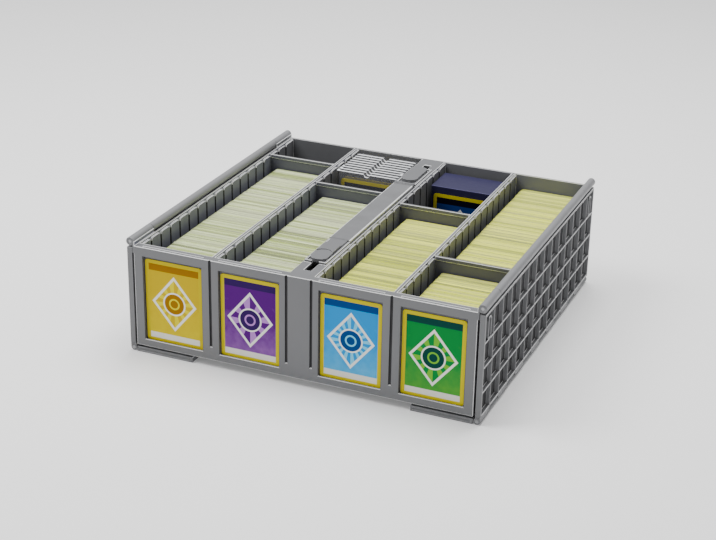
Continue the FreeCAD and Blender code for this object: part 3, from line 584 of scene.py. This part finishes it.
def one_card(name, x, y, z):
    """An upright card centred on x and y, with its lower edge at z."""
    bpy.ops.object.select_all(action="DESELECT")
    bpy.ops.mesh.primitive_plane_add(
        size=1, location=(x, y - CARD_STOCK / 2, z + CARD_HEIGHT / 2), rotation=(math.pi / 2, 0, 0)
    )
    piece = bpy.context.object
    piece.scale = (CARD_WIDTH, CARD_HEIGHT, 1)
    settle(piece, name)
    bpy.ops.object.mode_set(mode="EDIT")
    bpy.ops.mesh.select_all(action="SELECT")
    bpy.ops.mesh.bevel(offset=CARD_CORNER, segments=3, affect="VERTICES")
    bpy.ops.mesh.select_all(action="SELECT")
    bpy.ops.mesh.extrude_region_move(TRANSFORM_OT_translate={"value": (0, CARD_STOCK, 0)})
    bpy.ops.mesh.select_all(action="SELECT")
    bpy.ops.mesh.normals_make_consistent(inside=False)
    bpy.ops.object.mode_set(mode="OBJECT")
    return piece


def print_map(piece, x, z):
    """Lays the piece's UV map over a card centred on x with its lower edge at z."""
    layer = piece.data.uv_layers.get("print") or piece.data.uv_layers.new(name="print")
    corners = np.zeros(len(piece.data.loops), int)
    piece.data.loops.foreach_get("vertex_index", corners)
    points = np.array([v.co for v in piece.data.vertices])[corners]
    across = (points[:, 0] - x) / CARD_WIDTH + 0.5
    up = (points[:, 2] - z) / CARD_HEIGHT
    layer.data.foreach_set("uv", np.stack([across, up], 1).ravel().astype(np.float32))
    piece.data.uv_layers.active = layer


# %% [markdown]
# The printed faces are a plain design made for this bin: a coloured field that fades downwards,
# a bright lozenge with a ring and a burst of rays in it, a dark strip near the top and a pale
# one near the foot. One group draws it from the card's UV map; each card gives its colours.
# The group first works out where each point of the card is, in millimetres from its middle.

# %% The places on a card
COLOURS = ("Border", "Field", "Glow", "Dark")
LOZENGE_WIDTH, LOZENGE_HEIGHT = 25.0, 30.0
BORDER_X, BORDER_Y = 27.6, 40.1
PRINT, enter, leave = new_group(
    "card_print",
    {name: ("Color", (0.5, 0.5, 0.5, 1)) for name in COLOURS} | {"Rays": ("Float", 12.0)},
    {"Color": ("Color", None)},
)
flat = put(PRINT, "SeparateXYZ", {0: put(PRINT, "UVMap", uv_map="print").outputs[0]})
across, up = (
    sums(PRINT, "MULTIPLY", sums(PRINT, "SUBTRACT", flat.outputs[i], 0.5), length / MM)
    for i, length in enumerate((CARD_WIDTH, CARD_HEIGHT))
)
wide, tall = sums(PRINT, "ABSOLUTE", across), sums(PRINT, "ABSOLUTE", up)
lozenge = sums(
    PRINT,
    "ADD",
    sums(PRINT, "DIVIDE", wide, LOZENGE_WIDTH),
    sums(PRINT, "DIVIDE", tall, LOZENGE_HEIGHT),
)
squares = sums(PRINT, "ADD", sums(PRINT, "POWER", wide, 2.0), sums(PRINT, "POWER", tall, 2.0))
radius = sums(PRINT, "SQRT", squares)
turns = sums(PRINT, "MULTIPLY", sums(PRINT, "ARCTAN2", up, across), enter.outputs["Rays"])
rays = smooth_step(PRINT, sums(PRINT, "SINE", turns), -0.1, 0.1)
edge = sums(
    PRINT,
    "MAXIMUM",
    sums(PRINT, "SUBTRACT", wide, BORDER_X),
    sums(PRINT, "SUBTRACT", tall, BORDER_Y),
)
print("group", PRINT.name, "with", len(PRINT.nodes), "nodes for places")

# %% [markdown]
# The design is then laid down like ink, one layer over another. A layer is a mask with a soft
# edge, from where it starts to where it is full, and a colour.

# %% The layers of the print
FADE, CLOUD, FADE_START = -0.009, 0.6, -0.22
WHITE_LINE, PALE_STRIP = (0.85, 0.85, 0.8, 1), (0.75, 0.74, 0.66, 1)
border, field, glow, dark = (enter.outputs[name] for name in COLOURS)
spot = put(PRINT, "CombineXYZ", {0: across, 1: up}).outputs[0]
cloud = sums(PRINT, "MULTIPLY_ADD", noise(PRINT, 0.09, 3.0, spot), CLOUD, FADE_START)
picture = blend_colours(
    PRINT, sums(PRINT, "MULTIPLY_ADD", up, FADE, cloud, clamp=True), field, glow
)
LAYERS = (
    (lozenge, 1.0, 0.97, WHITE_LINE),
    (lozenge, 0.87, 0.84, blend_colours(PRINT, rays, field, glow)),
    (radius, 12.6, 12.2, WHITE_LINE),
    (radius, 11.0, 10.6, dark),
    (radius, 6.2, 5.8, glow),
    (radius, 4.4, 4.0, dark),
    (up, 32.8, 33.2, dark),
    (up, -33.8, -34.2, PALE_STRIP),
    (edge, -0.15, 0.15, border),
)
for place, start, full, colour in LAYERS:
    picture = blend_colours(PRINT, smooth_step(PRINT, place, start, full), picture, colour)
feed(PRINT, picture, leave.inputs["Color"])
print(len(LAYERS), "layers of ink")


# %% Printed cards
def printed(name, border, field, glow, dark, rays):
    """A printed card face in these four colours, with this many rays."""
    material, tree, shader = new_material(
        name, Roughness=0.5, IOR=1.5, Specular_IOR_Level=0.05
    )
    colours = {"Border": border, "Field": field, "Glow": glow, "Dark": dark}
    colours = {key: (*colour, 1) for key, colour in colours.items()}
    face = use_group(tree, PRINT, Rays=rays, **colours)
    feed(tree, face.outputs["Color"], shader.inputs["Base Color"])
    feed(tree, relief(tree, noise(tree, 900.0, 3.0), 0.12, 0.02 * MM), shader.inputs["Normal"])
    return material


YELLOW_BORDER = (0.62, 0.52, 0.0)
INKS = {
    "yellow": ((0.58, 0.46, 0.0), (0.56, 0.40, 0.0), (0.74, 0.64, 0.0), (0.30, 0.14, 0.0), 12.0),
    "purple": (YELLOW_BORDER, (0.085, 0.005, 0.17), (0.44, 0.20, 0.58), (0.03, 0.008, 0.09), 8.0),
    "blue": (YELLOW_BORDER, (0.0, 0.27, 0.66), (0.16, 0.60, 0.86), (0.0, 0.05, 0.20), 16.0),
    "green": (YELLOW_BORDER, (0.0, 0.22, 0.04), (0.16, 0.46, 0.03), (0.0, 0.05, 0.04), 10.0),
    "dark": (YELLOW_BORDER, (0.01, 0.04, 0.20), (0.05, 0.34, 0.72), (0.004, 0.004, 0.012), 9.0),
}
PRINTS = {look: printed(look + "_print", *inks) for look, inks in INKS.items()}
BACK_INKS = ((0.72, 0.71, 0.62), (0.05, 0.08, 0.26), (0.12, 0.18, 0.42), (0.03, 0.04, 0.14), 24.0)
BACK = printed("card_back", *BACK_INKS)
print(len(PRINTS), "printed faces and a back")

# %% [markdown]
# Loose cards on edge show only their cut edges. Some batches are whiter and some yellower, and
# the gaps between them lie in shade, so each card carries its own tint as an attribute and the
# material mixes three shades by it: pale and warm card, and a painted shade that stands for the
# gaps.

# %% The cut edges of the cards
def cut_edges(name, pale, warm, painted_gap_shade):
    """Card edges in pale and warm card and a painted shade, chosen by each card's own tint."""
    material, tree, shader = new_material(name, Roughness=0.78, IOR=1.45)
    tint = put(tree, "Attribute", attribute_name="tint").outputs["Fac"]
    fibre = noise(tree, 420.0, 4.0)
    shade = sums(tree, "MULTIPLY_ADD", sums(tree, "SUBTRACT", fibre, 0.5), 0.35, tint)
    # The darkest colour is painted shade for the gaps between cards.
    light = blend_colours(tree, smooth_step(tree, shade, 0.10, 0.30), (*painted_gap_shade, 1), (*warm, 1))
    colour = blend_colours(tree, smooth_step(tree, shade, 0.38, 0.62), light, (*pale, 1))
    feed(tree, colour, shader.inputs["Base Color"])
    feed(tree, relief(tree, fibre, 0.3, 0.05 * MM), shader.inputs["Normal"])
    return material


PALE_EDGES = cut_edges(
    "pale_card_edges", (0.68, 0.77, 0.42), (0.40, 0.51, 0.11), (0.06, 0.09, 0.005)
)
WARM_EDGES = cut_edges(
    "warm_card_edges", (0.90, 0.95, 0.09), (0.58, 0.66, 0.0), (0.24, 0.27, 0.0)
)
print(PALE_EDGES.name, "and", WARM_EDGES.name)

# %% [markdown]
# A row of several hundred cards starts as one card. An Array modifier repeats it, and then each
# copy is nudged: a little up or down, a little sideways, and leaning with its neighbours. A few
# wider gaps show where a hand has parted the cards.

# %% How loose cards stand
PITCH, END_ROOM = 0.4 * MM, 0.6 * MM
GAP_CHANCE, GAP_EXTRA = 0.05, 2.5
RAISED, MOST_RAISED = 0.28, 0.9
ASIDE, MOST_ASIDE = 0.32, 0.8
LEAN, LEAN_WAVE = 0.5 * MM, 17.0
BATCH_LEAST, BATCH_MOST, BATCH_SHARE, CARD_SHARE = 2, 14, 0.75, 0.35


def nudge(points, low, room, seed, chance):
    """Moves the copies of one card, an array of card by corner by axis, to their own places."""
    count = len(points)
    index = np.arange(count)
    gaps = 1 + GAP_EXTRA * (chance.random(count) < GAP_CHANCE)
    along = np.concatenate([[0], np.cumsum(gaps)[:-1]])
    along = along / along[-1] * (room - 2 * END_ROOM) + END_ROOM
    raised = np.abs(chance.normal(0, RAISED, count)).clip(0, MOST_RAISED) * MM
    aside = chance.normal(0, ASIDE, count).clip(-MOST_ASIDE, MOST_ASIDE) * MM
    swell = np.sin(np.pi * index / (count - 1))
    lean = LEAN * np.sin(index / LEAN_WAVE + seed) * swell
    height = (points[:, :, 2] - low.z) / CARD_HEIGHT
    points[:, :, 0] += aside[:, None]
    points[:, :, 1] += (along - index * PITCH)[:, None] + (lean[:, None] * height)
    points[:, :, 2] += raised[:, None]


# %% A row of loose cards
def card_row(node, edges, seed):
    """Hundreds of separate cards in the room of one stack."""
    low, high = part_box(node)
    room = high.y - low.y - CARD_STOCK
    count, centre = int(room / PITCH), (low.x + high.x) / 2
    piece = one_card(node + "_cards", centre, low.y + CARD_STOCK / 2, low.z)
    corners = len(piece.data.vertices)
    modify(
        piece,
        "ARRAY",
        count=count,
        use_relative_offset=False,
        use_constant_offset=True,
        constant_offset_displace=(0, PITCH, 0),
    )
    chance = np.random.default_rng(seed)
    points = np.array([v.co for v in piece.data.vertices]).reshape(count, corners, 3)
    nudge(points, low, room, seed, chance)
    piece.data.vertices.foreach_set("co", points.ravel().astype(np.float32))
    print_map(piece, centre, low.z)
    batches = chance.random(count), chance.integers(BATCH_LEAST, BATCH_MOST, count)
    tint = BATCH_SHARE * np.repeat(*batches)[:count] + CARD_SHARE * chance.random(count)
    attribute = piece.data.attributes.new("tint", "FLOAT", "POINT")
    attribute.data.foreach_set("value", np.repeat(tint.clip(0, 1), corners).astype(np.float32))
    for material in (edges, BACK):
        piece.data.materials.append(material)
    for face in piece.data.polygons:
        face.material_index = int(abs(face.normal.y) > 0.7)
    piece.data.update()
    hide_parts(node)
    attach(piece, frame["nodes"][node]["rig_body"])
    return piece, count


# %% The rows
ROWS = {
    "card_row_1": PALE_EDGES,
    "card_row_2": PALE_EDGES,
    "card_row_3": WARM_EDGES,
    "card_row_4_front": WARM_EDGES,
    "card_row_4_rear": WARM_EDGES,
    "deck_box_cards": PALE_EDGES,
}
for seed, (node, edges) in enumerate(ROWS.items(), start=11):
    piece, count = card_row(node, edges, seed)
    print(piece.name, count, "cards")


# %% [markdown]
# Single cards stand in the windows, in the clear sleeves and in front of the deck box. Each is
# the same rounded slip with one of the printed designs on its face.

# %% Single cards
def single(node, look):
    """A printed card in the place of a node."""
    low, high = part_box(node)
    centre = (low + high) / 2
    piece = one_card(node + "_printed", centre.x, centre.y, low.z)
    print_map(piece, centre.x, low.z)
    piece.data.materials.append(PRINTS[look])
    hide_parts(node)
    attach(piece, frame["nodes"][node]["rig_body"])
    return piece


WINDOWS = ("yellow", "purple", "blue", "green")
SLEEVED = ("dark", "yellow", "green", "purple", "blue", "yellow", "dark", "green", "yellow")
for row, look in enumerate(WINDOWS, start=1):
    single(f"display_card_{row}", look)
single("single_card", "dark")
for i, look in enumerate(SLEEVED, start=1):
    single(f"sleeved_card_{i}", look)
print(len(WINDOWS) + len(SLEEVED) + 1, "single cards")

# %% [markdown]
# The rigid sleeves are clear sheet, welded round three sides. Clear plastic shows mostly at its
# edges, which carry frost where they were cut and catch the light, so the rim of each front wall
# gets a whiter finish, partly frost and partly painted highlight. The rest is nearly see-through,
# with faint handling marks in its gloss.

# %% Clear plastic
CLEAR, tree, shader = new_material(
    "clear_sheet", Base_Color=(0.62, 0.63, 0.67, 1), IOR=1.49, Alpha=0.07
)
marks = noise(tree, 60.0, 5.0)
feed(tree, sums(tree, "MULTIPLY_ADD", marks, 0.12, 0.02), shader.inputs["Roughness"])
# Painted highlight with some frost: an opaque whiter finish for the sleeves' rims.
CLEAR_HIGHLIGHT, tree, shader = new_material("clear_sheet_frost_highlight", IOR=1.49)
frost = noise(tree, 40.0, 2.0)
feed(tree, sums(tree, "MULTIPLY_ADD", frost, 0.2, 0.3), shader.inputs["Roughness"])
frost_highlight = blend_colours(tree, frost, (0.70, 0.72, 0.75, 1), (0.92, 0.93, 0.95, 1))
feed(tree, frost_highlight, shader.inputs["Base Color"])
print(CLEAR.name, "and", CLEAR_HIGHLIGHT.name)

# %% Clear sleeves
THUMB_RADIUS = 3.5 * MM


def extent(piece):
    """The lowest and highest corner of a piece's mesh."""
    points = np.array([v.co for v in piece.data.vertices])
    return points.min(0), points.max(0)


def thumb_notch(piece):
    """Cuts the half-round notch for a thumb out of the top of a sleeve."""
    low, high = extent(piece)
    bpy.ops.object.select_all(action="DESELECT")
    bpy.ops.mesh.primitive_cylinder_add(
        vertices=48,
        radius=THUMB_RADIUS,
        depth=2 * (high[1] - low[1]),
        location=((low[0] + high[0]) / 2, (low[1] + high[1]) / 2, high[2]),
        rotation=(math.pi / 2, 0, 0),
    )
    cutter = settle(bpy.context.object, "thumb_cutter")
    modify(piece, "BOOLEAN", operation="DIFFERENCE", solver="EXACT", object=cutter)
    bpy.data.objects.remove(cutter)
    alone(piece)


def front_rim(piece):
    """Whitens the top of a sleeve's front wall with frost and painted highlight; other edges stay
    clear.
    """
    low, high = extent(piece)
    middle = (low[1] + high[1]) / 2
    for face in piece.data.polygons:
        rim = face.center.z > high[2] - 1.5 * THUMB_RADIUS and face.normal.z > 0.3
        face.material_index = HIGHLIGHT if rim and face.center.y < middle else FLAT


for i in range(1, len(SLEEVED) + 1):
    softened(
        f"card_sleeve_{i}",
        PART_ROUND,
        (CLEAR, CLEAR_HIGHLIGHT),
        thumb_notch,
        front_rim,
    )
print(len(SLEEVED), "sleeves")

# %% [markdown]
# The hinge pins are drawn steel wire. Only their ends show, so they keep the engineer's shape
# and get a metal with fine marks running along the wire.

# %% Steel pins
STEEL, tree, shader = new_material("drawn_steel", Metallic=1.0)
place = put(tree, "TexCoord").outputs["Object"]
stretched = put(tree, "Mapping", {"Vector": place, "Scale": (3000.0, 40.0, 3000.0)}).outputs[0]
drawn = noise(tree, 1.0, 3.0, stretched)
wire = blend_colours(tree, drawn, (0.22, 0.22, 0.23, 1), (0.40, 0.40, 0.41, 1))
feed(tree, wire, shader.inputs["Base Color"])
feed(tree, sums(tree, "MULTIPLY_ADD", drawn, 0.2, 0.25), shader.inputs["Roughness"])
PINS = [f"{side}_{pin}" for side in ("left", "right") for pin in ("lid_pin", "flap_pin")]
for pin in PINS:
    node = frame["nodes"][pin]
    node.data.materials.clear()
    node.data.materials.append(STEEL)
print(len(PINS), "pins in", STEEL.name)

# %% [markdown]
# The picture was taken on a white ground with hardly any shadow. A pale floor, which glows a
# little so that it stays bright beside the bin, an even white sky and two large soft lamps come
# close to it: the key lamp stands at the front left and lights the windows, and the other hangs
# overhead, towards the back, and lights the cards.

# %% The floor
FLOOR_SIZE, FLOOR_GLOW = 12, 0.15
bpy.ops.object.select_all(action="DESELECT")
bpy.ops.mesh.primitive_plane_add(size=FLOOR_SIZE, location=(0, 0, 0))
floor = settle(bpy.context.object, "floor")
FLOOR, tree, shader = new_material("pale_floor", Roughness=0.7)
paper = blend_colours(tree, noise(tree, 2.0, 2.0), (0.88, 0.88, 0.88, 1), (0.92, 0.92, 0.92, 1))
feed(tree, paper, shader.inputs["Base Color"])
shader.inputs["Emission Color"].default_value = (1, 1, 1, 1)
shader.inputs["Emission Strength"].default_value = FLOOR_GLOW
floor.data.materials.append(FLOOR)
print("floor", FLOOR_SIZE, "m square")

# %% The light
SKY_STRENGTH, AIM = 0.42, Vector((0, 0, 0.05))
world = bpy.data.worlds.new("studio")
bpy.context.scene.world = world
world.use_nodes = True
sky = world.node_tree.nodes["Background"]
sky.inputs["Color"].default_value = (1, 1, 1, 1)
sky.inputs["Strength"].default_value = SKY_STRENGTH


def soft_lamp(name, place, size, power):
    """A square lamp at a place, turned towards the bin, with its size in metres and its watts."""
    lamp = bpy.data.objects.new(name, bpy.data.lights.new(name, "AREA"))
    bpy.context.scene.collection.objects.link(lamp)
    lamp.data.size, lamp.data.energy = size, power
    lamp.location = place
    lamp.rotation_euler = (AIM - Vector(place)).to_track_quat("-Z", "Y").to_euler()
    print(name, power, "W")


soft_lamp("key", (-1.1, -0.5, 1.7), 1.0, 34)
soft_lamp("overhead", (0.1, 0.5, 1.9), 1.2, 46)

# %% [markdown]
# The camera stands where the photographer stood. Its place, tilt and lens were worked out from
# the corners of the tub in the picture, which is 716 by 540 pixels. The lens is given in pixels
# and the picture's centre is a little off the lens's axis, which the shift makes up for.

# %% Camera
PICTURE_WIDTH, PICTURE_HEIGHT, SENSOR_WIDTH = 716, 540, 36
FOCAL, CENTRE_X, CENTRE_Y = 1610.93, 355.54, 266.53
AZIMUTH, ELEVATION, ROLL = (math.radians(a) for a in (22.83, 23.67, 1.06))
CAMERA_PLACE = Vector((585.70, -1434.3, 733.8)) * MM
camera = bpy.data.objects.new("camera", bpy.data.cameras.new("camera"))
bpy.context.scene.collection.objects.link(camera)
bpy.context.scene.camera = camera
back = Vector(
    (
        math.sin(AZIMUTH) * math.cos(ELEVATION),
        -math.cos(AZIMUTH) * math.cos(ELEVATION),
        math.sin(ELEVATION),
    )
)
right = Vector((math.cos(AZIMUTH), math.sin(AZIMUTH), 0))
upward = back.cross(right)
turned_right = right * math.cos(ROLL) + upward * math.sin(ROLL)
turned_up = upward * math.cos(ROLL) - right * math.sin(ROLL)
turn = Matrix((turned_right, turned_up, back)).transposed().to_4x4()
camera.matrix_world = Matrix.Translation(CAMERA_PLACE) @ turn
camera.data.sensor_width = SENSOR_WIDTH
camera.data.lens = FOCAL / PICTURE_WIDTH * SENSOR_WIDTH
camera.data.shift_x = (PICTURE_WIDTH / 2 - CENTRE_X) / PICTURE_WIDTH
camera.data.shift_y = (CENTRE_Y - PICTURE_HEIGHT / 2) / PICTURE_WIDTH
camera.data.clip_start, camera.data.clip_end = 0.01, 50
print("lens", round(camera.data.lens, 1), "mm")
